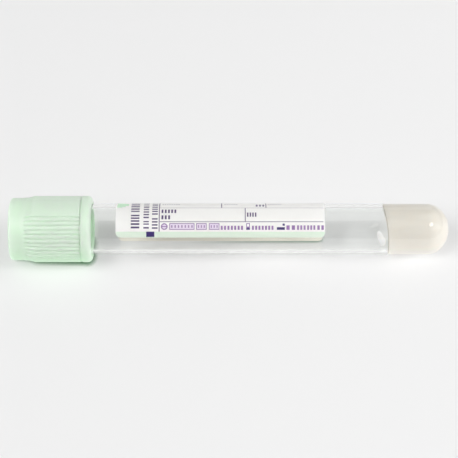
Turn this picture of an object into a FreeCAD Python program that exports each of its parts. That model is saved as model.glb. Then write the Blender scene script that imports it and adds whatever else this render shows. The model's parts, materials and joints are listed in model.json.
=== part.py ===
"""Blood collection tube: a clear round-bottomed plastic tube that holds a plug of
separating gel, wraps a paper label and is shut by a push-on closure. The closure is
a ribbed plastic shield that carries a rubber stopper.

Every sub-part is modelled about one tube axis. It runs along +X from the closure's
top plane, at x = 0, to the round bottom. The finished part then lies down: the
closure is wider than the tube, so the axis leans until the closure's ring and the
round bottom both touch the plane z = 0. The row's origin is on that plane, under
the middle of the part. Lengths are in millimetres and angles in degrees.
"""

import FreeCAD, Part
import Sketcher
import math
import os

SHEET = "Sizes"

SIZES = {
    # tube
    "tube_radius": 6.3,
    "tube_wall": 1.0,
    "tube_length": 100.0,
    # round bottom: crown_excess is how far the crown's radius exceeds the tube's
    "crown_excess": 0.7,
    "knuckle_radius": 5.0,
    # stopper, from its sunk top face down to the end of its plug
    "stopper_sink": 4.2,
    "collar_height": 2.7,
    "neck_height": 1.2,
    "shoulder_height": 1.2,
    "plug_length": 8.0,
    "neck_radius": 4.5,
    "plug_chamfer": 0.5,
    "hollow_radius": 3.0,
    "hollow_depth": 4.2,
    "well_radius": 2.5,
    "well_depth": 2.6,
    # shield: its walls are measured outwards from the bore over the tube
    "shield_length": 20.4,
    "skirt_wall": 1.15,
    "band_round": 0.5,
    "cup_wall": 1.55,
    "ring_height": 0.55,
    "ring_width": 2.6,
    "ring_round": 1.2,
    "ring_edge": 0.25,
    "skirt_chamfer": 0.3,
    # ribs of the shield: rib_count is for each side, between two plain raised panels.
    # panel_margin is the angle from a panel's edge to the middle of the next rib
    "rib_count": 17,
    "rib_pitch": 8.0,
    "rib_height": 0.52,
    "rib_top_width": 0.74,
    "rib_root_width": 1.04,
    "rib_start": 2.4,
    "rib_ramp": 3.0,
    "panel_margin": 4.8,
    # clearances, all radial
    "plug_gap": 0.08,
    "skirt_gap": 0.3,
    "neck_gap": 0.05,
    "collar_gap": 0.3,
    # gel: height of its surface above the round bottom, on the axis
    "gel_height": 16.0,
    "gel_slant": 7.6,
    "gel_roll": 64.0,
    # label: angles are from straight up, to the front edge and over to the back edge
    "label_offset": 17.2,
    "label_length": 51.6,
    "label_thickness": 0.08,
    "label_front_angle": 62.9,
    "label_back_angle": 170.2,
    "label_corner": 1.25,
}

# Places along the axis and radii that follow from the sizes
NECK_START = "(Sizes.stopper_sink + Sizes.collar_height)"
NECK_END = f"({NECK_START} + Sizes.neck_height)"
MOUTH = f"({NECK_END} + Sizes.shoulder_height)"
PLUG_END = f"({MOUTH} + Sizes.plug_length)"
TUBE_END = f"({MOUTH} + Sizes.tube_length)"
BORE = "(Sizes.tube_radius - Sizes.tube_wall)"
SKIRT_BORE = "(Sizes.tube_radius + Sizes.skirt_gap)"
PLUG_RADIUS = f"({BORE} - Sizes.plug_gap)"
BAND_RADIUS = f"({SKIRT_BORE} + Sizes.skirt_wall)"
CUP_RADIUS = f"({BAND_RADIUS} - Sizes.cup_wall)"
COLLAR_RADIUS = f"({CUP_RADIUS} - Sizes.collar_gap)"
FLANGE_BORE = "(Sizes.neck_radius + Sizes.neck_gap)"
RING_START = "(Sizes.shield_length - Sizes.ring_width)"
RING_RADIUS = f"({BAND_RADIUS} + Sizes.ring_height)"
RIB_RADIUS = f"({BAND_RADIUS} + Sizes.rib_height)"
FIRST_RIB = "((180 - (Sizes.rib_count - 1) * Sizes.rib_pitch) / 2)"

# The round bottom is a crown of one radius and a knuckle of a smaller one. Their
# centres are on the line through the point where the two arcs meet.
CROWN_RADIUS = "(Sizes.tube_radius + Sizes.crown_excess)"
KNUCKLE_OFFSET = "(Sizes.tube_radius - Sizes.knuckle_radius)"
CROWN_LESS_KNUCKLE = f"({CROWN_RADIUS} - Sizes.knuckle_radius)"
MEET_SINE = f"({KNUCKLE_OFFSET} / {CROWN_LESS_KNUCKLE})"
MEET_COSINE = f"sqrt(1 - {MEET_SINE}^2)"
CROWN_CENTRE = f"({TUBE_END} - {CROWN_RADIUS})"
KNUCKLE_CENTRE = f"({CROWN_CENTRE} + {CROWN_LESS_KNUCKLE} * {MEET_COSINE})"
INNER_CROWN = f"({CROWN_RADIUS} - Sizes.tube_wall)"
INNER_KNUCKLE = "(Sizes.knuckle_radius - Sizes.tube_wall)"

LEFT_TURN = 1
RIGHT_TURN = -1


def make_sheet(doc):
    """Put the driving sizes in a spreadsheet, one alias a row."""
    sheet = doc.addObject("Spreadsheet::Sheet", SHEET)
    for row, (alias, value) in enumerate(SIZES.items(), 1):
        sheet.set(f"A{row}", alias)
        sheet.set(f"B{row}", str(value))
        sheet.setAlias(f"B{row}", alias)
    doc.recompute()
    return sheet


def make_body(doc, name):
    """An empty body whose label is the name of its file."""
    body = doc.addObject("PartDesign::Body", name)
    body.Label = name
    return body


def origin_feature(body, role):
    """One of the body's own planes or axes, such as XZ_Plane."""
    for feature in body.Origin.OriginFeatures:
        if feature.Role == role:
            return feature
    raise ValueError(role)


def make_sketch(body, name, role):
    """An empty sketch on one of the body's origin planes."""
    sketch = body.newObject("Sketcher::SketchObject", name)
    sketch.AttachmentSupport = (origin_feature(body, role), [""])
    sketch.MapMode = "FlatFace"
    body.Document.recompute()
    return sketch


def turn_sketch(sketch, axis, angle):
    """Turn a sketch on its plane about one of its own axes, by an expression."""
    some_turn = FreeCAD.Rotation(axis, 1.0)
    sketch.AttachmentOffset = FreeCAD.Placement(FreeCAD.Vector(), some_turn)
    sketch.setExpression(".AttachmentOffset.Rotation.Angle", angle)


def number(item, expression):
    """The present value of an expression, as one of the document's objects reads it."""
    return float(item.evalExpression(expression))


def arc_between(start, end, radius, turn):
    """The short arc from start to end that turns left or right on its way."""
    chord = end - start
    to_left = FreeCAD.Vector(-chord.y, chord.x, 0).normalize()
    reach = math.sqrt(radius**2 - (chord.Length / 2) ** 2)
    centre = start + chord / 2 + to_left * (reach * turn)
    first, last = (start, end) if turn == LEFT_TURN else (end, start)
    angles = [math.atan2(point.y - centre.y, point.x - centre.x) for point in (first, last)]
    circle = Part.Circle(centre, FreeCAD.Vector(0, 0, 1), radius)
    return Part.ArcOfCircle(circle, angles[0], angles[1])


def draw_outline(sketch, corners):
    """Close a chain of lines and arcs through the corners, each bound to the sheet.

    A corner is (along, across), or (along, across, radius, turn) where an arc leads
    from it to the next corner. A coordinate of "0" puts it on the sketch's axis.
    """
    points = [FreeCAD.Vector(number(sketch, c[0]), number(sketch, c[1]), 0) for c in corners]
    starts, ends = [], []
    for index, corner in enumerate(corners):
        here, there = points[index], points[(index + 1) % len(corners)]
        if len(corner) == 2:
            geometry = sketch.addGeometry(Part.LineSegment(here, there), False)
            starts.append((geometry, 1))
            ends.append((geometry, 2))
            continue
        radius, turn = corner[2:]
        arc = arc_between(here, there, number(sketch, radius), turn)
        geometry = sketch.addGeometry(arc, False)
        starts.append((geometry, 1 if turn == LEFT_TURN else 2))
        ends.append((geometry, 2 if turn == LEFT_TURN else 1))
        bind(sketch, Sketcher.Constraint("Radius", geometry, arc.Radius), radius)
    for index, corner in enumerate(corners):
        sketch.addConstraint(Sketcher.Constraint("Coincident", *ends[index - 1], *starts[index]))
        for kind, axis, expression in (("DistanceX", -2, corner[0]), ("DistanceY", -1, corner[1])):
            if expression == "0":
                sketch.addConstraint(Sketcher.Constraint("PointOnObject", *starts[index], axis))
                continue
            value = number(sketch, expression)
            bind(sketch, Sketcher.Constraint(kind, -1, 1, *starts[index], value), expression)


def bind(sketch, constraint, expression):
    """Add a constraint whose value follows an expression."""
    index = sketch.addConstraint(constraint)
    sketch.setExpression(f"Constraints[{index}]", expression)


def revolve(body, name, corners, turn=None):
    """Revolve an outline about the tube axis, by a full turn or by an expression."""
    sketch = make_sketch(body, f"{name}_outline", "XZ_Plane")
    draw_outline(sketch, corners)
    feature = body.newObject("PartDesign::Revolution", name)
    feature.Profile = sketch
    feature.ReferenceAxis = (sketch, ["H_Axis"])
    feature.Angle = 360
    if turn:
        feature.setExpression("Angle", turn)
    body.Document.recompute()
    return feature


def require(condition, message):
    """Stop the build where a feature did not do its work."""
    if not condition:
        raise RuntimeError(message)


def bottom_outline(crown, knuckle, end):
    """Corners of the round bottom, from its end on the axis out to the tube's side."""
    return [
        (end, "0", crown, LEFT_TURN),
        (f"({CROWN_CENTRE} + {crown} * {MEET_COSINE})", f"({crown} * {MEET_SINE})", knuckle, LEFT_TURN),
        (KNUCKLE_CENTRE, f"({KNUCKLE_OFFSET} + {knuckle})"),
    ]


def make_tube(doc):
    """The tube, open at its mouth and closed by a round bottom of even wall."""
    body = make_body(doc, "tube")
    outer = bottom_outline(CROWN_RADIUS, "Sizes.knuckle_radius", TUBE_END)
    inner_end = f"({TUBE_END} - Sizes.tube_wall)"
    inner = bottom_outline(INNER_CROWN, INNER_KNUCKLE, inner_end)
    corners = outer + [(MOUTH, "Sizes.tube_radius"), (MOUTH, BORE)] + inside_out(inner)
    revolve(body, "wall", corners)
    return body


def inside_out(corners):
    """The same chain walked the other way, so that its arcs turn right."""
    walked = []
    for index in range(len(corners) - 1, -1, -1):
        place = corners[index][:2]
        arc = corners[index - 1][2:] if index > 0 else ()
        walked.append(place + ((arc[0], RIGHT_TURN) if arc else ()))
    return walked


def make_gel(doc):
    """The gel, which fills the bottom of the bore up to a flat, slanted surface."""
    body = make_body(doc, "barrier_gel")
    surface = f"({TUBE_END} - Sizes.gel_height)"
    blank_start = f"({surface} - Sizes.tube_radius)"
    inner_end = f"({TUBE_END} - Sizes.tube_wall)"
    corners = bottom_outline(INNER_CROWN, INNER_KNUCKLE, inner_end)
    blank = revolve(body, "fill", corners + [(blank_start, BORE), (blank_start, "0")])
    before = blank.Shape.Volume
    sketch = make_sketch(body, "surface_plane", "YZ_Plane")
    turn_sketch(sketch, FreeCAD.Vector(-1, 0, 0), "Sizes.gel_slant")
    sketch.setExpression(".AttachmentOffset.Base.z", surface)
    sketch.addGeometry(Part.Circle(FreeCAD.Vector(), FreeCAD.Vector(0, 0, 1), 1.0), False)
    sketch.addConstraint(Sketcher.Constraint("Coincident", 0, 3, -1, 1))
    bind(sketch, Sketcher.Constraint("Radius", 0, 1.0), "Sizes.tube_radius")
    doc.recompute()
    cut = body.newObject("PartDesign::Pocket", "cut_to_surface")
    cut.Profile = sketch
    cut.Type = "ThroughAll"
    doc.recompute()
    require(0.5 * before < cut.Shape.Volume < 0.8 * before, "the gel's surface was not cut")
    return body


def make_label(doc):
    """The label, a thin wrap with round corners that leaves a window on the tube."""
    body = make_body(doc, "label")
    start = f"({MOUTH} + Sizes.label_offset)"
    end = f"({start} + Sizes.label_length)"
    outside = "(Sizes.tube_radius + Sizes.label_thickness)"
    corners = [
        (start, "Sizes.tube_radius"),
        (end, "Sizes.tube_radius"),
        (end, outside),
        (start, outside),
    ]
    wrap_angle = "(Sizes.label_front_angle + Sizes.label_back_angle)"
    revolve(body, "wrap", corners, wrap_angle)
    round_corners(body, "back", start, end, "180", False)
    round_corners(body, "front", start, end, wrap_angle, True)
    return body


def round_corners(body, side, start, end, angle, upward):
    """Cut both corners of one edge of the label round, seen square to that edge."""
    sketch = make_sketch(body, f"{side}_corner_outlines", "XY_Plane")
    turn_sketch(sketch, FreeCAD.Vector(1, 0, 0), angle)
    corner = "Sizes.label_corner"
    near_start, near_end = f"({start} + {corner})", f"({end} - {corner})"
    draw_outline(sketch, [(start, "0"), (near_start, "0", corner, RIGHT_TURN), (start, corner)])
    draw_outline(sketch, [(near_end, "0"), (end, "0"), (end, corner, corner, RIGHT_TURN)])
    body.Document.recompute()
    before = body.Shape.Volume
    cut = body.newObject("PartDesign::Pocket", f"{side}_corners")
    cut.Profile = sketch
    cut.setExpression("Length", "Sizes.tube_radius * 2")
    cut.Reversed = upward
    body.Document.recompute()
    loss = (before - cut.Shape.Volume) / SIZES["label_thickness"]
    spandrels = 2 * (1 - math.pi / 4) * SIZES["label_corner"] ** 2
    require(0.9 * spandrels < loss < 1.2 * spandrels, "the label's corners were not rounded")


def make_stopper(doc):
    """The stopper: needle well, collar, neck, shoulder on the tube's rim, hollow plug."""
    body = make_body(doc, "stopper")
    well_floor = "(Sizes.stopper_sink + Sizes.well_depth)"
    hollow_roof = f"({PLUG_END} - Sizes.hollow_depth)"
    corners = [
        (well_floor, "0"),
        (hollow_roof, "0"),
        (hollow_roof, "Sizes.hollow_radius"),
        (PLUG_END, "Sizes.hollow_radius"),
        (PLUG_END, f"({PLUG_RADIUS} - Sizes.plug_chamfer)"),
        (f"({PLUG_END} - Sizes.plug_chamfer)", PLUG_RADIUS),
        (MOUTH, PLUG_RADIUS),
        (MOUTH, "Sizes.tube_radius"),
        (NECK_END, "Sizes.tube_radius"),
        (NECK_END, "Sizes.neck_radius"),
        (NECK_START, "Sizes.neck_radius"),
        (NECK_START, COLLAR_RADIUS),
        ("Sizes.stopper_sink", COLLAR_RADIUS),
        ("Sizes.stopper_sink", "Sizes.well_radius"),
        (well_floor, "Sizes.well_radius"),
    ]
    revolve(body, "rubber", corners)
    return body


def make_shield(doc):
    """The shield: open cup, flange round the stopper's neck, ribbed skirt and ring."""
    body = make_body(doc, "shield")
    length = "Sizes.shield_length"
    ring_crest = f"({RING_RADIUS} - Sizes.ring_edge)"
    corners = [
        ("0", CUP_RADIUS),
        (NECK_START, CUP_RADIUS),
        (NECK_START, FLANGE_BORE),
        (NECK_END, FLANGE_BORE),
        (NECK_END, SKIRT_BORE),
        (f"({length} - Sizes.skirt_chamfer)", SKIRT_BORE),
        (length, f"({SKIRT_BORE} + Sizes.skirt_chamfer)"),
        (length, f"({RING_RADIUS} - Sizes.ring_round)", "Sizes.ring_round", LEFT_TURN),
        (f"({length} - Sizes.ring_round)", RING_RADIUS),
        (f"({RING_START} + Sizes.ring_edge)", RING_RADIUS, "Sizes.ring_edge", LEFT_TURN),
        (RING_START, ring_crest),
        (RING_START, BAND_RADIUS),
        ("Sizes.band_round", BAND_RADIUS, "Sizes.band_round", LEFT_TURN),
        ("0", f"({BAND_RADIUS} - Sizes.band_round)"),
    ]
    revolve(body, "cup_and_skirt", corners)
    add_ribs(body, "front", FIRST_RIB)
    add_ribs(body, "back", f"180 + {FIRST_RIB}")
    add_panels(body)
    ramp_rib_ends(body)
    return body


def add_ribs(body, side, first_angle):
    """Ribs round one side, between the panels at the top and bottom."""
    doc = body.Document
    sketch = make_sketch(body, f"{side}_rib_section", "YZ_Plane")
    turn_sketch(sketch, FreeCAD.Vector(0, 0, 1), first_angle)
    sketch.setExpression(".AttachmentOffset.Base.z", "Sizes.rib_start")
    draw_rib_section(sketch)
    doc.recompute()
    rib = body.newObject("PartDesign::Pad", f"{side}_rib")
    rib.Profile = sketch
    rib.setExpression("Length", f"{RING_START} + Sizes.ring_edge - Sizes.rib_start")
    doc.recompute()
    pattern = body.newObject("PartDesign::PolarPattern", f"{side}_ribs")
    pattern.Originals = [rib]
    pattern.Axis = (origin_feature(body, "X_Axis"), [""])
    pattern.setExpression("Angle", "(Sizes.rib_count - 1) * Sizes.rib_pitch")
    pattern.setExpression("Occurrences", "Sizes.rib_count")
    body.Tip = pattern
    doc.recompute()


def draw_rib_section(sketch):
    """A trapezium that stands on the band's surface, symmetric about the sketch's upright."""
    root_radius = f"({BAND_RADIUS} - Sizes.rib_height / 2)"
    half_root = number(sketch, "Sizes.rib_root_width / 2")
    half_top = number(sketch, "Sizes.rib_top_width / 2")
    low, high = number(sketch, root_radius), number(sketch, RIB_RADIUS)
    places = [(-half_root, low), (half_root, low), (half_top, high), (-half_top, high)]
    points = [FreeCAD.Vector(x, y, 0) for x, y in places]
    for index in range(4):
        sketch.addGeometry(Part.LineSegment(points[index], points[(index + 1) % 4]), False)
    for index in range(4):
        sketch.addConstraint(Sketcher.Constraint("Coincident", index - 1 if index else 3, 2, index, 1))
    sketch.addConstraint(Sketcher.Constraint("Symmetric", 0, 1, 0, 2, -2))
    sketch.addConstraint(Sketcher.Constraint("Symmetric", 2, 1, 2, 2, -2))
    bind(sketch, Sketcher.Constraint("DistanceX", 0, 1, 0, 2, 2 * half_root), "Sizes.rib_root_width")
    bind(sketch, Sketcher.Constraint("DistanceX", 2, 2, 2, 1, 2 * half_top), "Sizes.rib_top_width")
    bind(sketch, Sketcher.Constraint("DistanceY", -1, 1, 0, 2, low), root_radius)
    bind(sketch, Sketcher.Constraint("DistanceY", -1, 1, 2, 1, high), RIB_RADIUS)


def add_panels(body):
    """Plain panels at the top and bottom, level with the ribs' crests."""
    doc = body.Document
    before = body.Shape.Volume
    end = f"({RING_START} + Sizes.ring_edge)"
    low = f"({BAND_RADIUS} - Sizes.rib_height / 2)"
    corners = [
        ("Sizes.rib_start", low),
        (end, low),
        (end, RIB_RADIUS),
        ("Sizes.rib_start", RIB_RADIUS),
    ]
    panel = revolve(body, "panel", corners, f"2 * ({FIRST_RIB} - Sizes.panel_margin)")
    panel.Midplane = True
    doc.recompute()
    pattern = body.newObject("PartDesign::PolarPattern", "panels")
    pattern.Originals = [panel]
    pattern.Axis = (origin_feature(body, "X_Axis"), [""])
    pattern.Angle = 360
    pattern.Occurrences = 2
    body.Tip = pattern
    doc.recompute()
    require(pattern.Shape.Volume > before, "the panels were not added")


def ramp_rib_ends(body):
    """Turn the upper ends of the ribs and panels down to the band in a long ramp."""
    doc = body.Document
    before = body.Shape.Volume
    sketch = make_sketch(body, "ramp_outline", "XZ_Plane")
    ramp_end = "(Sizes.rib_start + Sizes.rib_ramp)"
    clear = f"({RIB_RADIUS} + Sizes.rib_height)"
    corners = [
        ("Sizes.rib_start", BAND_RADIUS),
        (ramp_end, RIB_RADIUS),
        (ramp_end, clear),
        ("Sizes.rib_start", clear),
    ]
    draw_outline(sketch, corners)
    ramp = body.newObject("PartDesign::Groove", "rib_ramps")
    ramp.Profile = sketch
    ramp.ReferenceAxis = (sketch, ["H_Axis"])
    ramp.Angle = 360
    doc.recompute()
    require(ramp.Shape.Volume < before, "the rib ends were not ramped")


def resting_lean(sheet):
    """Angle between the tube axis and the plane that the part lies on.

    The ring's round edge and the bottom's knuckle are both rings of arc. Each one's
    lowest point is its arc's centre less its radius, and the two are level when
    run * sin(lean) - drop * cos(lean) = rise.
    """
    run = number(sheet, KNUCKLE_CENTRE) - (sheet.shield_length - sheet.ring_round)
    ring_middle = number(sheet, RING_RADIUS) - sheet.ring_round
    drop = ring_middle - number(sheet, KNUCKLE_OFFSET)
    rise = sheet.ring_round - sheet.knuckle_radius
    return math.asin(rise / math.hypot(run, drop)) + math.atan2(drop, run)


def resting_placement(sheet):
    """Lay the part on z = 0, with the origin under the middle of its length."""
    lean = resting_lean(sheet)
    sine, cosine = math.sin(lean), math.cos(lean)
    round_middle = sheet.shield_length - sheet.ring_round
    ring_middle = number(sheet, RING_RADIUS) - sheet.ring_round
    height = round_middle * sine + ring_middle * cosine + sheet.ring_round
    rim = number(sheet, BAND_RADIUS) - sheet.band_round
    top_end = sheet.band_round * cosine - rim * sine - sheet.band_round
    bottom_end = number(sheet, CROWN_CENTRE) * cosine + number(sheet, CROWN_RADIUS)
    place = FreeCAD.Vector(-(top_end + bottom_end) / 2, 0, height)
    return FreeCAD.Placement(place, FreeCAD.Rotation(FreeCAD.Vector(0, 1, 0), math.degrees(lean)))


def roll(angle):
    """A turn about the tube axis, from the top towards the front for a positive angle."""
    return FreeCAD.Placement(FreeCAD.Vector(), FreeCAD.Rotation(FreeCAD.Vector(1, 0, 0), angle))


def check(doc, bodies):
    """Refuse a model with a failed feature or a sub-part that is no valid solid."""
    for item in doc.Objects:
        require("Invalid" not in item.State and "Error" not in item.State, f"{item.Name} failed")
    for body in bodies:
        shape = body.Shape
        require(not shape.isNull() and shape.isValid(), f"{body.Label} is not valid")
        require(len(shape.Solids) == 1, f"{body.Label} is not one solid")


def main():
    doc = FreeCAD.newDocument("blood_collection_tube")
    sheet = make_sheet(doc)
    bodies = [make_tube(doc), make_label(doc), make_gel(doc), make_stopper(doc), make_shield(doc)]
    rest = resting_placement(sheet)
    rolls = {"label": -sheet.label_back_angle, "barrier_gel": -sheet.gel_roll}
    for body in bodies:
        body.Placement = rest * roll(rolls.get(body.Label, 0))
    doc.recompute()
    check(doc, bodies)
    os.makedirs("parts", exist_ok=True)
    for body in bodies:
        body.Shape.exportStep(f"parts/{body.Label}.step")
        print(body.Label, round(body.Shape.Volume, 3), body.Shape.BoundBox)
    print("lean", round(math.degrees(resting_lean(sheet)), 4), "placement", rest)


main()
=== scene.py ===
"""Looks of the blood collection tube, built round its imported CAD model.

A local frame runs along the tube axis: X from the closure's top plane to the round
bottom, Y to the back, Z up. Lengths in it are millimetres. Angles round the axis are
from straight up, towards the front for positive angles.
"""

import json
import math

import bpy
import numpy as np
from mathutils import Matrix, Vector

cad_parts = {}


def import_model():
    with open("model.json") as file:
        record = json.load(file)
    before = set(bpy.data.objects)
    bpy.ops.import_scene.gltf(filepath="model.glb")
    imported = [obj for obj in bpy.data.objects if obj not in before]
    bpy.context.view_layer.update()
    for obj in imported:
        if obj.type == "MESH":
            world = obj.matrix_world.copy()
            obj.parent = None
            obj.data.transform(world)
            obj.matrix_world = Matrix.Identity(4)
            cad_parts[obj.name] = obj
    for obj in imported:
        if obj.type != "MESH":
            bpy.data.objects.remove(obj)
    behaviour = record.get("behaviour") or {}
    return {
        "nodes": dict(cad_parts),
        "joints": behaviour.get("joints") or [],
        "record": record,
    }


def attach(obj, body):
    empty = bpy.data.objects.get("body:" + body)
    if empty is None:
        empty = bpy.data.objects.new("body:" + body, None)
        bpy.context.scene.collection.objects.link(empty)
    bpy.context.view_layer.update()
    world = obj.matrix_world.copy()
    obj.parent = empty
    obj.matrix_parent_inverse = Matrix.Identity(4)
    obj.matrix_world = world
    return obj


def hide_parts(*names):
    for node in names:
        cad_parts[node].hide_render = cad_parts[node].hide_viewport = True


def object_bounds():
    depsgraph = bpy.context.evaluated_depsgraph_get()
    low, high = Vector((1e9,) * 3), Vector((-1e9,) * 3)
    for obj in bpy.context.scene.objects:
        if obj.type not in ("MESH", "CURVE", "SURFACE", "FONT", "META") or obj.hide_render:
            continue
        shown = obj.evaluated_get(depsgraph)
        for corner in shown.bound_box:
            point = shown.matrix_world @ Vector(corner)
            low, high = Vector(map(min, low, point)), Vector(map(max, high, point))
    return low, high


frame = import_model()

BOUNDS_AT_START = [list(corner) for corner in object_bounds()]
MM = 0.001

# ---------------------------------------------------------------- the local frame

MOUNTS = {mount["name"]: mount for mount in frame["record"]["mounts"]}
AXIS = -Vector(frame["joints"][0]["axis"]).normalized()
BACK = Vector((0, 1, 0))
RISE = AXIS.cross(BACK)
WELL = Vector(MOUNTS["needle_well"]["pos_m"])
ON_TOP = Vector(MOUNTS["closure_top"]["pos_m"])
START = WELL + AXIS * (ON_TOP - WELL).dot(AXIS)
TO_WORLD = np.array([list(AXIS), list(BACK), list(RISE)]) * MM


def world(points):
    """World places, in metres, of points of the local frame in millimetres."""
    return np.asarray(points, float) @ TO_WORLD + np.array(START)


def reach(node):
    """A CAD node's first and last place on the axis and its largest radius."""
    mesh = frame["nodes"][node].data
    found = np.empty(len(mesh.vertices) * 3)
    mesh.vertices.foreach_get("co", found)
    local = (found.reshape(-1, 3) - np.array(START)) @ np.linalg.inv(TO_WORLD)
    radius = np.hypot(local[:, 1], local[:, 2])
    return float(local[:, 0].min()), float(local[:, 0].max()), float(radius.max())


# ---------------------------------------------------------------- sizes

MOUTH, TUBE_END, TUBE_R = reach("tube")
LABEL_START, LABEL_END, LABEL_R = reach("label")
SHIELD_END, RING_R = reach("shield")[1:]
TOP, PLUG_END = reach("stopper")[:2]

# the radius at which a turned profile ends on the axis, so that its points stay apart,
# the angle in degrees at which the round bottom's arc ends before it, and the angle
# over which an edge is shown sharp
ON_AXIS = 1e-4
NEAR_AXIS = 1.2
SHARP_ANGLE = math.radians(35)

# tube: its wall, bore, the two radii of its round bottom, the rounding of its rim and
# the end of its straight side
WALL = 1.0
BORE_R = TUBE_R - WALL
CROWN_R, KNUCKLE_R = TUBE_R + 0.7, 5.0
RIM_ROUND = 0.25
SIDE_END = TUBE_END - 6.0

# shield: skirt over the tube, plain band, cup over the stopper, flange round its neck
# and ring at the open end
SKIRT_R, SKIRT_CHAMFER, SKIRT_FILLET = TUBE_R + 0.3, 0.3, 0.2
BAND_R, BAND_ROUND = SKIRT_R + 1.15, 0.7
CUP_R, CUP_EDGE, CUP_CHAMFER = BAND_R - 1.55, 0.12, 0.1
FLANGE_START, FLANGE_END = 6.9, 8.1
FLANGE_R, FLANGE_CHAMFER = 4.55, 0.05
RING_START = SHIELD_END - 2.6
RING_ROUND, RING_EDGE = 1.2, 0.25

# raised panels above and below, with ribs between them at the front and the back:
# height over the band, the ribs' pitch in degrees and their count on one side
RIB_HEIGHT, RIB_PITCH, RIB_COUNT = 0.52, 8.0, 17
# how far a rib falls towards its grooves, and the power that keeps its crest broad
RIB_FALL, RIB_POWER = 0.96, 3.4
# panels and ribs rise in two steps: share of the height, start and end
RISE_STEPS = ((0.22, 2.9, 4.0), (0.78, 4.1, 6.4))
# grooves: depth as a share of the height, the part of it that they have before the rise,
# start and place of full depth
GROOVE_DEPTH, GROOVE_PART, GROOVE_START, GROOVE_FULL = 0.75, 0.7, 3.8, 4.4
# the step down before the ring: share of the height, start and end before the ring
RING_STEP = (0.25, 0.35, 0.1)

# stopper: collar in the cup, neck in the flange, needle well with a row of points on its
# floor, hollow plug, and the rounding and the chamfers of its edges
COLLAR_R, COLLAR_HEIGHT = 5.9, 2.7
NECK_R, NECK_END = 4.5, 3.9
WELL_R, WELL_DEPTH, WELL_ROW = 2.5, 2.6, 1.2
PLUG_GAP, PLUG_ROUND = 0.08, 0.5
HOLLOW_R, HOLLOW_DEPTH = 3.0, 4.2
STOPPER_ROUND, STOPPER_CHAMFER, SEAT_CHAMFER = 0.3, 0.2, 0.05

# gel: depth on the axis, the way (Y, Z) towards which it reaches up the tube, the slope
# and the bend along that way, the slope across it, and the meniscus at the wall
GEL_DEPTH = 14.9
GEL_LEAN = (0.724, 0.69)
GEL_SLOPE, GEL_BEND, GEL_CROSS_SLOPE = 0.126, 0.0211, 0.092
GEL_MENISCUS = 0.35
# how far the gel reaches into the wall, and the share of its side that is the rim, a darker copy of the
# gel that is painted shade
GEL_OVERLAP, GEL_SHADED_RIM = 0.03, 0.022

# a drop on the bore: place on the axis and angle in degrees of its head and of its foot,
# half width at both, thickness, how far it reaches into the wall, and the way of its
# width, as parts along and round the bore
DROP_HEAD, DROP_FOOT = (91.1, 50), (92.9, 88)
DROP_HALF_WIDTHS = (0.65, 1.1)
DROP_THICKNESS, DROP_OVERLAP = 0.45, 0.015
DROP_ACROSS = (0.6, 0.8)
# shares of its length over which its head and its foot are round
DROP_HEAD_SHARE, DROP_FOOT_SHARE = 0.25, 0.3

# label: the angles of its edges in degrees, its round corners, thickness and wrap
LABEL_FRONT, LABEL_BACK = 62.9, -170.2
CORNER = 1.25
PAPER_THICKNESS = 0.07
LABEL_LENGTH = LABEL_END - LABEL_START
WRAP = math.radians(LABEL_FRONT - LABEL_BACK) * LABEL_R

# ---------------------------------------------------------------- meshes


def add_piece(name, points, faces, materials, body, node, material_of=None):
    """A mesh piece in the local frame that rides on a body and stands for a CAD node."""
    mesh = bpy.data.meshes.new(name)
    mesh.from_pydata(world(points).tolist(), [], faces)
    mesh.validate()
    piece = bpy.data.objects.new(name, mesh)
    bpy.context.scene.collection.objects.link(piece)
    for material in materials:
        mesh.materials.append(material)
    if material_of is not None:
        mesh.polygons.foreach_set("material_index", material_of)
    mesh.polygons.foreach_set("use_smooth", [True] * len(mesh.polygons))
    mesh.set_sharp_from_angle(angle=SHARP_ANGLE)
    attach(piece, body)
    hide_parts(node)
    return piece


def arc(centre, radius, first, last, steps):
    """Points (along, across) on an arc. Its angles run from the axis outwards."""
    turns = np.radians(np.linspace(first, last, steps + 1))
    return [(centre[0] + radius * math.cos(t), centre[1] + radius * math.sin(t)) for t in turns]


def full_turn(columns):
    """Angles once round the axis, in radians."""
    return np.linspace(0, 2 * math.pi, columns, endpoint=False)


def round_axis(along, radius, turns):
    """Points from places on the axis, radii and angles round it in radians."""
    along, radius, turns = np.broadcast_arrays(along, radius, turns)
    return np.stack([along, -radius * np.sin(turns), radius * np.cos(turns)], axis=-1).reshape(-1, 3)


def turned(profile, columns, relief=None):
    """Points of a profile turned about the axis, with a relief that adds to its radius."""
    along, radius = (np.repeat(values, columns) for values in zip(*profile))
    turns = np.tile(full_turn(columns), len(profile))
    if relief:
        radius = radius + relief(along, turns, radius)
    return round_axis(along, radius, turns)


def ring_faces(rows, columns, closed_rows=False):
    """Quads between rows of points that each go once round the axis."""
    faces = []
    for row in range(rows if closed_rows else rows - 1):
        low, high = row * columns, (row + 1) % rows * columns
        for column in range(columns):
            after = (column + 1) % columns
            faces.append((low + column, low + after, high + after, high + column))
    return faces


def layer_faces(rows, columns):
    """Quads of a grid of points and of a second grid below it, by turns."""
    faces = []
    for row in range(rows - 1):
        for column in range(columns - 1):
            near, far = row * columns + column, (row + 1) * columns + column
            quad = (near, far, far + 1, near + 1)
            faces.append(quad)
            faces.append(tuple(corner + rows * columns for corner in reversed(quad)))
    return faces


def bottom_profile(inset, steps):
    """The round bottom from the tube's side to its end on the axis, inset by a wall."""
    crown = TUBE_END - CROWN_R
    offset = TUBE_R - KNUCKLE_R
    sine = offset / (CROWN_R - KNUCKLE_R)
    meet = math.degrees(math.asin(sine))
    knuckle = crown + (CROWN_R - KNUCKLE_R) * math.sqrt(1 - sine**2)
    side = arc((knuckle, offset), KNUCKLE_R - inset, 90, meet, steps)
    end = arc((crown, 0), CROWN_R - inset, meet, NEAR_AXIS, steps)
    return side + end[1:] + [(TUBE_END - inset, ON_AXIS)]


# ---------------------------------------------------------------- materials


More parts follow.
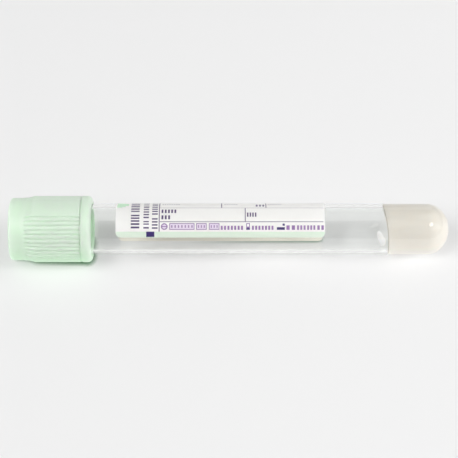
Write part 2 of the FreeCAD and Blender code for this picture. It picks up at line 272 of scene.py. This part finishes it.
def srgb(red, green, blue):
    """A linear colour from 8-bit sRGB values."""
    parts = [v / 255 for v in (red, green, blue)]
    return tuple(p / 12.92 if p <= 0.04045 else ((p + 0.055) / 1.055) ** 2.4 for p in parts) + (1,)


def dimmed(colour, share):
    """A share of a linear colour."""
    return tuple(share * part for part in colour[:3]) + (1,)


class Nodes:
    """The node tree of a material or world, with short ways to add and join nodes."""

    def __init__(self, owner):
        owner.use_nodes = True
        self.tree = owner.node_tree

    def add(self, kind, **values):
        """A node. Each value goes to its property of that name, or else to its input."""
        node = self.tree.nodes.new(kind)
        for key, value in values.items():
            if hasattr(node, key):
                setattr(node, key, value)
            else:
                node.inputs[key.replace("_", " ")].default_value = value
        return node

    def join(self, source, target):
        self.tree.links.new(source, target)

    def feed(self, value, target):
        """Set an input to a plain value, or join an output to it."""
        if isinstance(value, (float, tuple)):
            target.default_value = value
        else:
            self.join(value, target)

    def place(self, space):
        """X, Y and Z, by name, in one of the texture coordinates' spaces."""
        split = self.add("ShaderNodeSeparateXYZ")
        self.join(self.add("ShaderNodeTexCoord").outputs[space], split.inputs[0])
        return split.outputs

    def maths(self, operation, first, second):
        node = self.add("ShaderNodeMath", operation=operation)
        self.feed(first, node.inputs[0])
        self.feed(second, node.inputs[1])
        return node.outputs[0]

    def spread(self, value, **limits):
        """A value mapped from one range to another, and kept inside it."""
        node = self.add("ShaderNodeMapRange", **limits)
        self.join(value, node.inputs["Value"])
        return node.outputs["Result"]


class Finish(Nodes):
    """A material with one Principled shader."""

    def __init__(self, name):
        self.material = bpy.data.materials.new(name)
        super().__init__(self.material)
        self.shader = self.tree.nodes["Principled BSDF"]

    def set(self, **values):
        for key, value in values.items():
            self.shader.inputs[key.replace("_", " ")].default_value = value

    def drive(self, key, source):
        self.join(source, self.shader.inputs[key])

    def noise(self, scale, detail, stretch=(1, 1, 1)):
        """Noise in the object's own space; scale is in features a metre."""
        mapping = self.add("ShaderNodeMapping", Scale=stretch)
        self.join(self.add("ShaderNodeTexCoord").outputs["Object"], mapping.inputs["Vector"])
        noise = self.add("ShaderNodeTexNoise", Scale=scale, Detail=detail)
        self.join(mapping.outputs["Vector"], noise.inputs["Vector"])
        return noise.outputs["Fac"]

    def mix(self, share, first, second):
        """A colour between two, by a share."""
        node = self.add("ShaderNodeMix", data_type="RGBA")
        # the node has sockets for all its data types, and these are the colour's
        for index, value in ((0, share), (6, first), (7, second)):
            self.feed(value, node.inputs[index])
        return node.outputs[2]

    def mottle(self, scale, detail, dark, pale):
        """A base colour that drifts between two close ones."""
        self.drive("Base Color", self.mix(self.noise(scale, detail), dark, pale))

    def vary_roughness(self, scale, detail, low, high):
        self.drive("Roughness", self.spread(self.noise(scale, detail), To_Min=low, To_Max=high))

    def bump(self, scale, detail, height, stretch=(1, 1, 1)):
        """A noise of bumps of a height in metres."""
        node = self.add("ShaderNodeBump", Distance=height)
        self.join(self.noise(scale, detail, stretch), node.inputs["Height"])
        self.drive("Normal", node.outputs["Normal"])

    def painted_glow_below(self, colour, high, low, strength):
        """Painted glow: emission in place of light that comes up through the piece. It grows
        from none at a high place, in metres, to a strength at a low one."""
        height = self.place("Object")["Z"]
        self.set(Emission_Color=colour)
        self.drive("Emission Strength", self.spread(height, From_Min=high, From_Max=low, To_Max=strength))


def shield_plastic():
    n = Finish("shield_plastic")
    n.set(IOR=1.5)
    n.set(Subsurface_Weight=0.9, Subsurface_Scale=0.004, Subsurface_Radius=(0.8, 1.0, 0.8))
    n.mottle(260, 4, srgb(207, 229, 207), srgb(212, 233, 211))
    n.vary_roughness(900, 5, 0.31, 0.43)
    n.bump(1500, 4, 0.0000015)
    # painted glow: green emission on the underside, in place of light that comes up through the plastic
    n.painted_glow_below(srgb(160, 222, 164), 0.011, 0.004, 0.25)
    return n.material


def stopper_rubber():
    n = Finish("stopper_rubber")
    n.set(IOR=1.5)
    n.mottle(500, 5, srgb(150, 164, 150), srgb(162, 175, 161))
    n.vary_roughness(1800, 4, 0.5, 0.7)
    n.bump(3000, 5, 0.00002)
    return n.material


def gel_milk(name, dark, pale, painted_glow, clear=0.4):
    """Milky gel. It may have a painted glow towards its underside, in place of light through it from
    below.
    """
    n = Finish(name)
    n.set(Roughness=0.35, IOR=1.42, Transmission_Weight=clear, Specular_IOR_Level=0.3)
    n.set(Subsurface_Weight=0.8, Subsurface_Scale=0.003, Subsurface_Radius=(1.1, 1.0, 0.9))
    n.mottle(160, 3, dark, pale)
    n.bump(400, 2, 0.00001)
    n.painted_glow_below(srgb(252, 248, 242), 0.0105, 0.0035, painted_glow)
    return n.material


def tube_plastic():
    """Clear moulded plastic, with bumps that are long along the tube."""
    n = Finish("tube_plastic")
    n.set(IOR=1.57, Transmission_Weight=1.0, Base_Color=srgb(252, 253, 252))
    n.vary_roughness(700, 4, 0.002, 0.014)
    n.bump(90, 2, 0.000002, stretch=(0.25, 1, 1))
    return n.material


def paper(name, colour, roughness=0.42, painted_glow=0.055):
    """Coated label paper, bare or printed in one colour. A painted glow stands in for the light that
    passes through it.
    """
    n = Finish(name)
    n.set(Emission_Color=colour, Emission_Strength=painted_glow)
    n.set(IOR=1.5, Subsurface_Weight=0.85, Subsurface_Scale=0.0003, Subsurface_Radius=(1, 1, 1))
    n.mottle(1200, 5, dimmed(colour, 0.96), colour)
    n.vary_roughness(2500, 4, roughness - 0.06, roughness + 0.06)
    n.bump(4000, 4, 0.000004)
    return n.material


# the floor's white is a share of paint and a glow. Within a reach in metres of what
# touches it the glow fades and the paint turns to a dull green: painted contact shadow.
FLOOR_PAINT, FLOOR_GLOW = 0.5, 0.38
PAINTED_SHADOW_REACH = 0.0016


def floor_paint():
    """White board, lit half from above and half from below, as on a light table, with painted contact
    shadow where things touch it.
    """
    n = Finish("floor")
    near = n.add("ShaderNodeAmbientOcclusion", samples=8, Distance=PAINTED_SHADOW_REACH)
    clear = n.spread(near.outputs["AO"], From_Min=0.4, From_Max=0.95)
    dark, pale = (dimmed(srgb(tone, tone, tone), FLOOR_PAINT) for tone in (243, 245))
    # painted contact shadow: a dull green where something lies close on the floor
    painted_contact_shadow = dimmed(srgb(96, 172, 114), FLOOR_PAINT)
    n.drive("Base Color", n.mix(clear, painted_contact_shadow, n.mix(n.noise(6, 4), dark, pale)))
    n.vary_roughness(60, 3, 0.5, 0.6)
    n.bump(300, 3, 0.00001)
    n.set(Emission_Color=(1, 1, 1, 1))
    # the glow fades where something touches the floor: painted contact shadow
    n.drive("Emission Strength", n.spread(clear, To_Max=FLOOR_GLOW))
    return n.material


# ---------------------------------------------------------------- closure


def smooth_step(value, low, high):
    t = np.clip((value - low) / (high - low), 0, 1)
    return t * t * (3 - 2 * t)


def rib_relief(along, turns, radius):
    """Height over the band of the ribs at the front and the back, and of the plain panels
    between them, which are flush with the ribs' crests."""
    from_side = np.degrees(np.abs((turns % math.pi) - math.pi / 2))
    edge = RIB_COUNT / 2 * RIB_PITCH
    half = RIB_PITCH / 2
    from_crest = ((from_side + half) % RIB_PITCH) / half - 1
    from_crest = np.where(from_side < edge, from_crest, np.clip(1 - (from_side - edge) / half, 0, 1))
    fall = RIB_FALL * np.abs(from_crest) ** RIB_POWER
    rise = sum(share * smooth_step(along, start, end) for share, start, end in RISE_STEPS)
    groove = GROOVE_DEPTH * fall * smooth_step(along, GROOVE_START, GROOVE_FULL)
    groove *= GROOVE_PART + (1 - GROOVE_PART) * rise
    drop, start, end = RING_STEP
    stop = 1 - drop * smooth_step(along, RING_START - start, RING_START - end)
    on_band = (radius > BAND_R - 0.01) & (along < RING_START - 0.01)
    return np.where(on_band, RIB_HEIGHT * (rise - groove) * stop, 0)


def make_shield():
    # rows lie close where the panels rise and where they drop before the ring
    rising, level = np.linspace(2.4, 6.2, 26), np.linspace(6.8, RING_START - 0.4, 7)
    dropping = (RING_START - before for before in (0.3, 0.2, 0.12, 0.06, 0))
    outer = (
        arc((CUP_EDGE, CUP_R + CUP_EDGE), CUP_EDGE, 270, 180, 4)
        + arc((BAND_ROUND, BAND_R - BAND_ROUND), BAND_ROUND, 180, 90, 8)
        + [(along, BAND_R) for along in (*rising, *level, *dropping)]
        + arc((RING_START + RING_EDGE, RING_R - RING_EDGE), RING_EDGE, 180, 90, 5)
        + arc((SHIELD_END - RING_ROUND, RING_R - RING_ROUND), RING_ROUND, 90, 0, 12)
    )
    inner = [
        (SHIELD_END, SKIRT_R + SKIRT_CHAMFER),
        (SHIELD_END - SKIRT_CHAMFER, SKIRT_R),
        (FLANGE_END + SKIRT_FILLET, SKIRT_R),
        (FLANGE_END, SKIRT_R - SKIRT_FILLET),
        (FLANGE_END, FLANGE_R + FLANGE_CHAMFER),
        (FLANGE_END - FLANGE_CHAMFER, FLANGE_R),
        (FLANGE_START + FLANGE_CHAMFER, FLANGE_R),
        (FLANGE_START, FLANGE_R + FLANGE_CHAMFER),
        (FLANGE_START, CUP_R - CUP_CHAMFER),
        (FLANGE_START - CUP_CHAMFER, CUP_R),
        (CUP_EDGE, CUP_R),
    ]
    profile = outer + inner
    # each rib has eighteen columns
    columns = 18 * round(360 / RIB_PITCH)
    points = turned(profile, columns, rib_relief)
    faces = ring_faces(len(profile), columns, closed_rows=True)
    piece = add_piece("closure_shield", points, faces, [shield_plastic()], "closure", "shield")


def make_stopper():
    plug = BORE_R - PLUG_GAP
    r, c, seat = STOPPER_ROUND, STOPPER_CHAMFER, SEAT_CHAMFER
    well_floor, hollow_floor = TOP + WELL_DEPTH, PLUG_END - HOLLOW_DEPTH
    collar_end, neck_end = TOP + COLLAR_HEIGHT, TOP + NECK_END
    profile = (
        [(well_floor, ON_AXIS), (well_floor, WELL_ROW)]
        + arc((well_floor - r, WELL_R - r), r, 0, 90, 5)
        + arc((TOP + r, WELL_R + r), r, 270, 180, 5)
        + arc((TOP + r, COLLAR_R - r), r, 180, 90, 5)
        + [(collar_end - c, COLLAR_R), (collar_end, COLLAR_R - c)]
        + [(collar_end, NECK_R), (neck_end, NECK_R)]
        + arc((neck_end + r, TUBE_R - r), r, 180, 90, 4)
        + [(MOUTH - seat, TUBE_R), (MOUTH, TUBE_R - seat), (MOUTH, plug)]
        + arc((PLUG_END - PLUG_ROUND, plug - PLUG_ROUND), PLUG_ROUND, 90, 0, 5)
        + [(PLUG_END, HOLLOW_R + c), (PLUG_END - c, HOLLOW_R)]
        + [(hollow_floor + c, HOLLOW_R), (hollow_floor, HOLLOW_R - c), (hollow_floor, ON_AXIS)]
    )
    columns = 128
    points = turned(profile, columns)
    faces = ring_faces(len(profile), columns)
    piece = add_piece("closure_stopper", points, faces, [stopper_rubber()], "closure", "stopper")


# ---------------------------------------------------------------- tube and gel


def make_tube():
    side = np.linspace(MOUTH + RIM_ROUND, SIDE_END, 40)
    outer = [(along, TUBE_R) for along in side] + bottom_profile(0, 20)
    inner = bottom_profile(WALL, 20)[::-1] + [(along, BORE_R) for along in side[::-1]]
    rim = arc((MOUTH + RIM_ROUND, BORE_R + RIM_ROUND), RIM_ROUND, 270, 180, 5)[1:]
    rim += arc((MOUTH + RIM_ROUND, TUBE_R - RIM_ROUND), RIM_ROUND, 180, 90, 5)[:-1]
    profile = outer + inner + rim
    columns = 192
    points = turned(profile, columns)
    faces = ring_faces(len(profile), columns, closed_rows=True)
    piece = add_piece("tube_wall", points, faces, [tube_plastic()], "tube_body", "tube")
    # such a clear tube hardly dims the light that passes through it
    piece.visible_shadow = False


def gel_surface(y, z):
    """Place along the axis of the gel's surface over a place in the bore."""
    up, back = GEL_LEAN
    lean = up * y + back * z
    cross = back * y - up * z
    meniscus = GEL_MENISCUS * np.clip(np.hypot(y, z) / BORE_R, 0, 1) ** 6
    bend = GEL_SLOPE * lean + GEL_BEND * lean**2
    return TUBE_END - GEL_DEPTH - bend + GEL_CROSS_SLOPE * cross - meniscus


def make_gel():
    columns = 192
    bore = BORE_R + GEL_OVERLAP
    turns = full_turn(columns)
    side = round_axis(0, bore, turns)
    # the surface, in rings that come closer together towards the wall
    rows = []
    for share in np.sin(np.linspace(0.02, 1, 14) * math.pi / 2):
        y, z = side[:, 1] * share, side[:, 2] * share
        rows.append(np.column_stack([gel_surface(y, z), y, z]))
    # the side, whose first strip is the rim of painted shade, and the round bottom
    shaded_rim_row = len(rows) - 1
    edge = rows[shaded_rim_row][:, 0]
    bottom = bottom_profile(WALL - GEL_OVERLAP, 20)
    for share in (GEL_SHADED_RIM, *np.linspace(0.1, 0.95, 8)):
        rows.append(round_axis(edge + (bottom[0][0] - edge) * share, bore, turns))
    rows += [round_axis(along, radius, turns) for along, radius in bottom]
    faces = ring_faces(len(rows), columns)
    kinds = [int(face[0] // columns == shaded_rim_row) for face in faces]
    faces.append(tuple(reversed(range(columns))))
    kinds.append(0)
    # the gel has a painted glow towards its underside
    gel = gel_milk("gel", srgb(221, 217, 209), srgb(225, 221, 214), 0.36)
    # the rim: a darker copy of the gel without its glow, painted shade where the gel meets the wall
    rim = gel_milk("gel_painted_shade_rim", srgb(184, 177, 165), srgb(192, 185, 173), 0.0)
    piece = add_piece("gel_plug", np.vstack(rows), faces, [gel, rim], "tube_body", "barrier_gel", kinds)


def make_drop():
    """A drop of gel on the front of the bore. It is a row of half rounds on the wall, from
    a small head to a broad foot."""
    rows, columns = 40, 33
    bore = BORE_R + DROP_OVERLAP
    share = np.linspace(0, 1, rows)[:, None]
    across = np.linspace(-1, 1, columns)[None, :]
    ends = np.sqrt(1 - (1 - np.clip(share / DROP_HEAD_SHARE, 0, 1)) ** 2)
    ends = ends * np.sqrt(1 - (1 - np.clip((1 - share) / DROP_FOOT_SHARE, 0, 1)) ** 2)
    (head, head_turn), (foot, foot_turn) = DROP_HEAD, DROP_FOOT
    narrow, broad = DROP_HALF_WIDTHS
    aside = across * (narrow + (broad - narrow) * share) * ends
    along = head + (foot - head) * share + DROP_ACROSS[0] * aside
    turns = np.radians(head_turn + (foot_turn - head_turn) * share) - DROP_ACROSS[1] * aside / bore
    thickness = DROP_THICKNESS * ends * np.sqrt(1 - across**2)
    points = [round_axis(along, bore, turns), round_axis(along, bore - thickness, turns)]
    faces = layer_faces(rows, columns)
    # a lighter copy of the gel, not clear and with a painted glow: painted highlight
    gel = gel_milk("gel_drop_painted_highlight", srgb(252, 249, 244), srgb(254, 252, 248), 0.3, clear=0.0)
    piece = add_piece("gel_drop_painted_highlight", np.vstack(points), faces, [gel], "tube_body", "barrier_gel")


# ---------------------------------------------------------------- label

# Printed fields: colour, first and last place along the label, first and last place up
# the wrap from its front edge. The print is plain bars and blocks: no lettering.
FIELDS = [
    ("field", 0.0, LABEL_LENGTH, 0.0, 1.5),
    ("mark", 7.55, 9.55, 0.15, 1.5),
    ("patch", 0.25, 1.5, 8.4, 11.6),
    ("patch", 1.5, 2.3, 8.75, 11.3),
    ("patch", 2.3, 3.1, 9.2, 10.9),
    ("rule", 10.62, 10.86, 1.5, 24.3),
    ("rule", 10.86, 51.2, 3.86, 4.06),
    ("grey", 10.86, 51.2, 8.18, 8.36),
    ("grey", 10.86, 51.2, 12.5, 12.68),
    ("grey", 10.86, 51.2, 16.8, 16.98),
    ("rule", 10.86, 51.2, 21.1, 21.3),
    ("rule", 31.85, 32.08, 4.06, 8.18),
    ("rule", 26.0, 26.25, 8.36, 12.5),
    ("rule", 37.0, 37.22, 8.36, 12.5),
    ("rule", 31.85, 32.08, 16.98, 21.1),
]

# a round mark in the bottom row: its centre, outer and inner radius and half its bar
ROUND_MARK = (12.0, 2.75)
MARK_OUTER, MARK_INNER, MARK_BAR = 0.82, 0.55, 0.12

# grid lines of the label's mesh that are closer than this become one
LEAST_STEP = 0.004


def bar_spans(start, end, count, share):
    """First and last places of equal bars from a start to an end, each a share of a step."""
    step = (end - start) / (count - 1 + share)
    return [(start + index * step, start + index * step + step * share) for index in range(count)]


def bars(colour, first, last, low, high, count, share=0.6):
    """Equal bars in a row along the label."""
    return [(colour, here, there, low, high) for here, there in bar_spans(first, last, count, share)]


def turned_bars(colour, first, last, low, high, count, share):
    """Equal bars in a row up the label's wrap."""
    return [(colour, first, last, here, there) for here, there in bar_spans(low, high, count, share)]


def boxed(first, last, low, high, count):
    """A framed, tinted box with small bars in it."""
    box = [("row", first, last, low, high), ("tint", first + 0.2, last - 0.2, low + 0.2, high - 0.2)]
    return box + bars("row", first + 0.45, last - 0.45, low + 0.5, high - 0.5, count, 0.4)


def print_columns():
    """Three turned rows of bars at the label's left."""
    large = ((2.3, 3.6, 2), (3.95, 5.85, 3), (6.75, 8.35, 3), (8.8, 11.2, 3), (11.9, 15.4, 5))
    middle = ((2.25, 2.65, 1), (3.2, 4.15, 2), (4.9, 9.4, 6), (10.2, 14.6, 6))
    small = ((2.2, 4.9, 4), (5.9, 10.4, 6), (11.2, 14.0, 4))
    fields = []
    rows = ((3.75, 5.85, 0.55, large), (6.85, 8.2, 0.5, middle), (8.95, 10.35, 0.5, small))
    for first, last, share, groups in rows:
        for low, high, count in groups:
            fields += turned_bars("ink", first, last, low, high, count, share)
    return fields


def print_captions():
    """Small captions in the ruled fields."""
    fields = []
    for first, last, low, high, count in (
        (11.3, 14.9, 6.4, 7.6, 5),
        (11.3, 13.4, 4.6, 5.7, 3),
        (32.4, 34.7, 5.3, 6.55, 4),
        (34.6, 36.7, 8.95, 10.1, 3),
        (11.3, 15.6, 14.9, 16.1, 6),
        (11.3, 14.1, 19.2, 20.4, 4),
        (32.4, 35.2, 19.2, 20.4, 4),
    ):
        fields += bars("ink", first, last, low, high, count, 0.55)
    for first, last, count in ((11.4, 15.7, 8), (26.8, 30.0, 6), (37.6, 40.9, 7)):
        fields += bars("faint", first, last, 9.95, 10.5, count)
    return fields


def print_bottom_row():
    """Small boxes, blocks and bars above the green edge."""
    fields = []
    for first, last, count in ((13.25, 19.45, 7), (19.85, 22.45, 3), (23.0, 25.6, 3)):
        fields += boxed(first, last, 1.95, 3.6, count)
    for first, last in ((25.9, 31.4), (33.6, 38.9)):
        fields += bars("row", first, last, 1.95, 2.95, 7)
    fields += [
        ("row", 32.2, 33.1, 1.95, 3.6),
        ("paper", 32.4, 32.9, 2.75, 3.4),
        ("mark", 32.2, 33.1, 1.95, 2.45),
        ("mark", 39.75, 41.7, 1.95, 2.6),
        ("mark", 41.15, 41.7, 2.95, 3.5),
    ]
    for first, last, count in ((42.1, 44.2, 2), (44.7, 46.8, 3), (47.2, 49.2, 3), (49.7, 51.3, 2)):
        fields += bars("row", first, last, 1.95, 3.05, count)
    return fields


PRINT = FIELDS + print_columns() + print_captions() + print_bottom_row()


def label_colour(along, up):
    """The colour of a place on the label: the last printed field that covers it."""
    colour = "paper"
    for name, first, last, low, high in PRINT:
        if first <= along <= last and low <= up <= high:
            colour = name
    from_centre = math.hypot(along - ROUND_MARK[0], up - ROUND_MARK[1])
    if from_centre <= MARK_OUTER:
        on_line = from_centre >= MARK_INNER or abs(up - ROUND_MARK[1]) < MARK_BAR
        colour = "row" if on_line else "tint"
    return colour


def grid_lines(length, edges, mark, more=()):
    """Places from 0 to a side's length for the grid lines of the label's mesh: at the edges
    of its print, close together at its round corners and the round mark, and any more."""
    lines = {CORNER * (1 - math.cos(t)) for t in np.linspace(0, math.pi / 2, 7)}
    lines |= {length - line for line in lines}
    lines |= {edge for edge in edges if 0 < edge < length}
    lines |= {*np.linspace(mark - MARK_OUTER, mark + MARK_OUTER, 15), *more}
    kept = []
    for line in sorted(lines):
        if not kept or line - kept[-1] > LEAST_STEP:
            kept.append(float(line))
    return kept


def round_corner(along, up):
    """A place on the label's grid, pulled inside its round corners."""
    x = CORNER - min(along, LABEL_LENGTH - along)
    y = CORNER - min(up, WRAP - up)
    if x <= 0 or y <= 0 or math.hypot(x, y) <= CORNER:
        return along, up
    share = CORNER / math.hypot(x, y)
    x, y = CORNER - x * share, CORNER - y * share
    return (x if along < LABEL_LENGTH / 2 else LABEL_LENGTH - x), (y if up < WRAP / 2 else WRAP - y)


def label_papers():
    """The label's materials by the names that its printed fields use."""
    return {
        "paper": paper("label_paper", srgb(246, 245, 241)),
        # the back's stronger painted glow stands in for light that passes through the label
        "back": paper("label_back", srgb(238, 231, 216), roughness=0.6, painted_glow=0.25),
        "field": paper("label_green_field", srgb(218, 238, 216)),
        "patch": paper("label_green_patch", srgb(190, 230, 194)),
        "mark": paper("label_mark", srgb(52, 38, 104)),
        "ink": paper("label_ink", srgb(84, 66, 108)),
        "row": paper("label_row_ink", srgb(140, 108, 158)),
        "tint": paper("label_row_tint", srgb(226, 212, 232)),
        "rule": paper("label_rule", srgb(122, 108, 132)),
        "grey": paper("label_grey_rule", srgb(178, 174, 180)),
        "faint": paper("label_faint_ink", srgb(176, 170, 180)),
    }


def make_label():
    round_the_tube = np.linspace(0, WRAP, 79)
    along = grid_lines(LABEL_LENGTH, [x for field in PRINT for x in field[1:3]], ROUND_MARK[0])
    up = grid_lines(WRAP, [y for field in PRINT for y in field[3:5]], ROUND_MARK[1], round_the_tube)
    rows, columns = len(along), len(up)
    places = np.array([round_corner(x, y) for x in along for y in up])
    starts, turns = LABEL_START + places[:, 0], np.radians(LABEL_FRONT) - places[:, 1] / LABEL_R
    layers = [round_axis(starts, radius, turns) for radius in (LABEL_R, LABEL_R - PAPER_THICKNESS)]
    papers = label_papers()
    names = list(papers)
    faces, kinds = layer_faces(rows, columns), []
    for x in (np.array(along[:-1]) + along[1:]) / 2:
        for y in (np.array(up[:-1]) + up[1:]) / 2:
            kinds += [names.index(label_colour(x, y)), names.index("back")]
    # the label's rim, from corner to corner
    rim = [row * columns for row in range(rows)]
    rim += [(rows - 1) * columns + column for column in range(1, columns)]
    rim += [row * columns + columns - 1 for row in range(rows - 2, -1, -1)]
    rim += range(columns - 2, 0, -1)
    below = rows * columns
    for here, there in zip(rim, rim[1:] + rim[:1]):
        faces.append((here, here + below, there + below, there))
        kinds.append(names.index("paper"))
    shades = list(papers.values())
    piece = add_piece("label_wrap", np.vstack(layers), faces, shades, "tube_body", "label", kinds)


# ---------------------------------------------------------------- surroundings

# half of the floor's side and the lamps' distance, in metres
FLOOR_HALF = 3.0
LAMP_DISTANCE = 0.9

# the camera: degrees that it looks down, and in millimetres its distance and half of the
# width that it sees
CAMERA_LIFT = 46.4
CAMERA_DISTANCE, HALF_VIEW = 425, 57.25

# the room's even light, and its windows: first and last angle over the front horizon,
# where 90 is straight up and 180 the back, first and last part of the direction that
# runs along X, and strength
ROOM_LIGHT = 0.12
WINDOWS = [
    (110, 145, -0.3, 0.3, 0.11),
    (145, 190, -0.3, 0.3, 0.66),
    (40, 80, -1.2, -0.3, 3.55),
    (40, 80, 0.3, 1.2, 0.65),
]
# half the width of the windows' soft edges, in both measures
SOFT_ANGLE, SOFT_PART = 3, 0.05


def make_floor():
    level = BOUNDS_AT_START[0][2]
    sides = ((-1, -1), (1, -1), (1, 1), (-1, 1))
    mesh = bpy.data.meshes.new("floor")
    mesh.from_pydata([(x * FLOOR_HALF, y * FLOOR_HALF, level) for x, y in sides], [], [(0, 1, 2, 3)])
    mesh.materials.append(floor_paint())
    floor = bpy.data.objects.new("floor", mesh)
    bpy.context.scene.collection.objects.link(floor)


def make_world():
    """Even light with brighter windows in it, as in a light tent that is open to the front."""
    space = bpy.data.worlds.new("surroundings")
    bpy.context.scene.world = space
    n = Nodes(space)
    way = n.place("Generated")
    angle = n.maths("ARCTAN2", way["Z"], n.maths("MULTIPLY", way["Y"], -1.0))
    angle = n.maths("MULTIPLY", angle, 180 / math.pi)

    def between(value, low, high, soft):
        """1 between two values and 0 outside them, with soft edges."""
        edges = [
            n.spread(value, interpolation_type="SMOOTHSTEP", From_Min=edge - soft, From_Max=edge + soft)
            for edge in (low, high)
        ]
        return n.maths("SUBTRACT", *edges)

    light = ROOM_LIGHT
    for low, high, left, right, strength in WINDOWS:
        window = n.maths(
            "MULTIPLY",
            between(angle, low, high, SOFT_ANGLE),
            between(way["X"], left, right, SOFT_PART),
        )
        light = n.maths("ADD", n.maths("MULTIPLY", window, strength), light)
    back = n.tree.nodes["Background"]
    back.inputs["Color"].default_value = (1, 1, 1, 1)
    n.join(light, back.inputs["Strength"])
    # The tube's wall casts no shadow, so light sampled straight from the world would reach
    # what lies behind it twice.
    space.cycles.sampling_method = "NONE"


def aim(thing, place, target, right=None):
    """Put a camera or lamp somewhere and point it at a target, with a way to its right."""
    thing.location = place
    forward = (Vector(target) - Vector(place)).normalized()
    if right is None:
        thing.rotation_euler = forward.to_track_quat("-Z", "Y").to_euler()
        return
    right = right.normalized()
    up = right.cross(forward).normalized()
    thing.rotation_euler = Matrix([right, up, -forward]).transposed().to_euler()


def make_camera(centre):
    data = bpy.data.cameras.new("camera")
    data.angle = 2 * math.atan(HALF_VIEW / CAMERA_DISTANCE)
    camera = bpy.data.objects.new("camera", data)
    bpy.context.scene.collection.objects.link(camera)
    bpy.context.scene.camera = camera
    lift = math.radians(CAMERA_LIFT)
    forward = BACK * math.cos(lift) - RISE * math.sin(lift)
    aim(camera, centre - forward * (CAMERA_DISTANCE * MM), centre, right=AXIS)


def add_lamp(name, elevation, azimuth, width, height, power, centre):
    """A softbox that faces the part. Azimuth 0 is the front, positive to the right."""
    lamp = bpy.data.lights.new(name, "AREA")
    lamp.shape = "ELLIPSE"
    lamp.size, lamp.size_y = width, height
    lamp.energy = power
    thing = bpy.data.objects.new(name, lamp)
    bpy.context.scene.collection.objects.link(thing)
    up, aside = math.radians(elevation), math.radians(azimuth)
    way = Vector((math.sin(aside) * math.cos(up), -math.cos(aside) * math.cos(up), math.sin(up)))
    aim(thing, centre + way * LAMP_DISTANCE, centre)
    return thing


# ---------------------------------------------------------------- all together

make_shield()
make_stopper()
make_tube()
make_gel()
make_drop()
make_label()
make_floor()
make_world()

# the view's centre lies a little to the left of the part's
centre = START + AXIS * (TUBE_END / 2 - 0.2) * MM
make_camera(centre)
add_lamp("right", 59, 47, 0.36, 0.28, 1.4, centre)
fill = add_lamp("fill", 26, 86, 0.5, 0.35, 4.5, centre)
# it only fills the shadows, and the gel shows one highlight
fill.visible_glossy = False
add_lamp("left", 58, -55, 0.4, 0.4, 1.86, centre)
bpy.context.scene.view_settings.view_transform = "Standard"

bpy.context.view_layer.update()
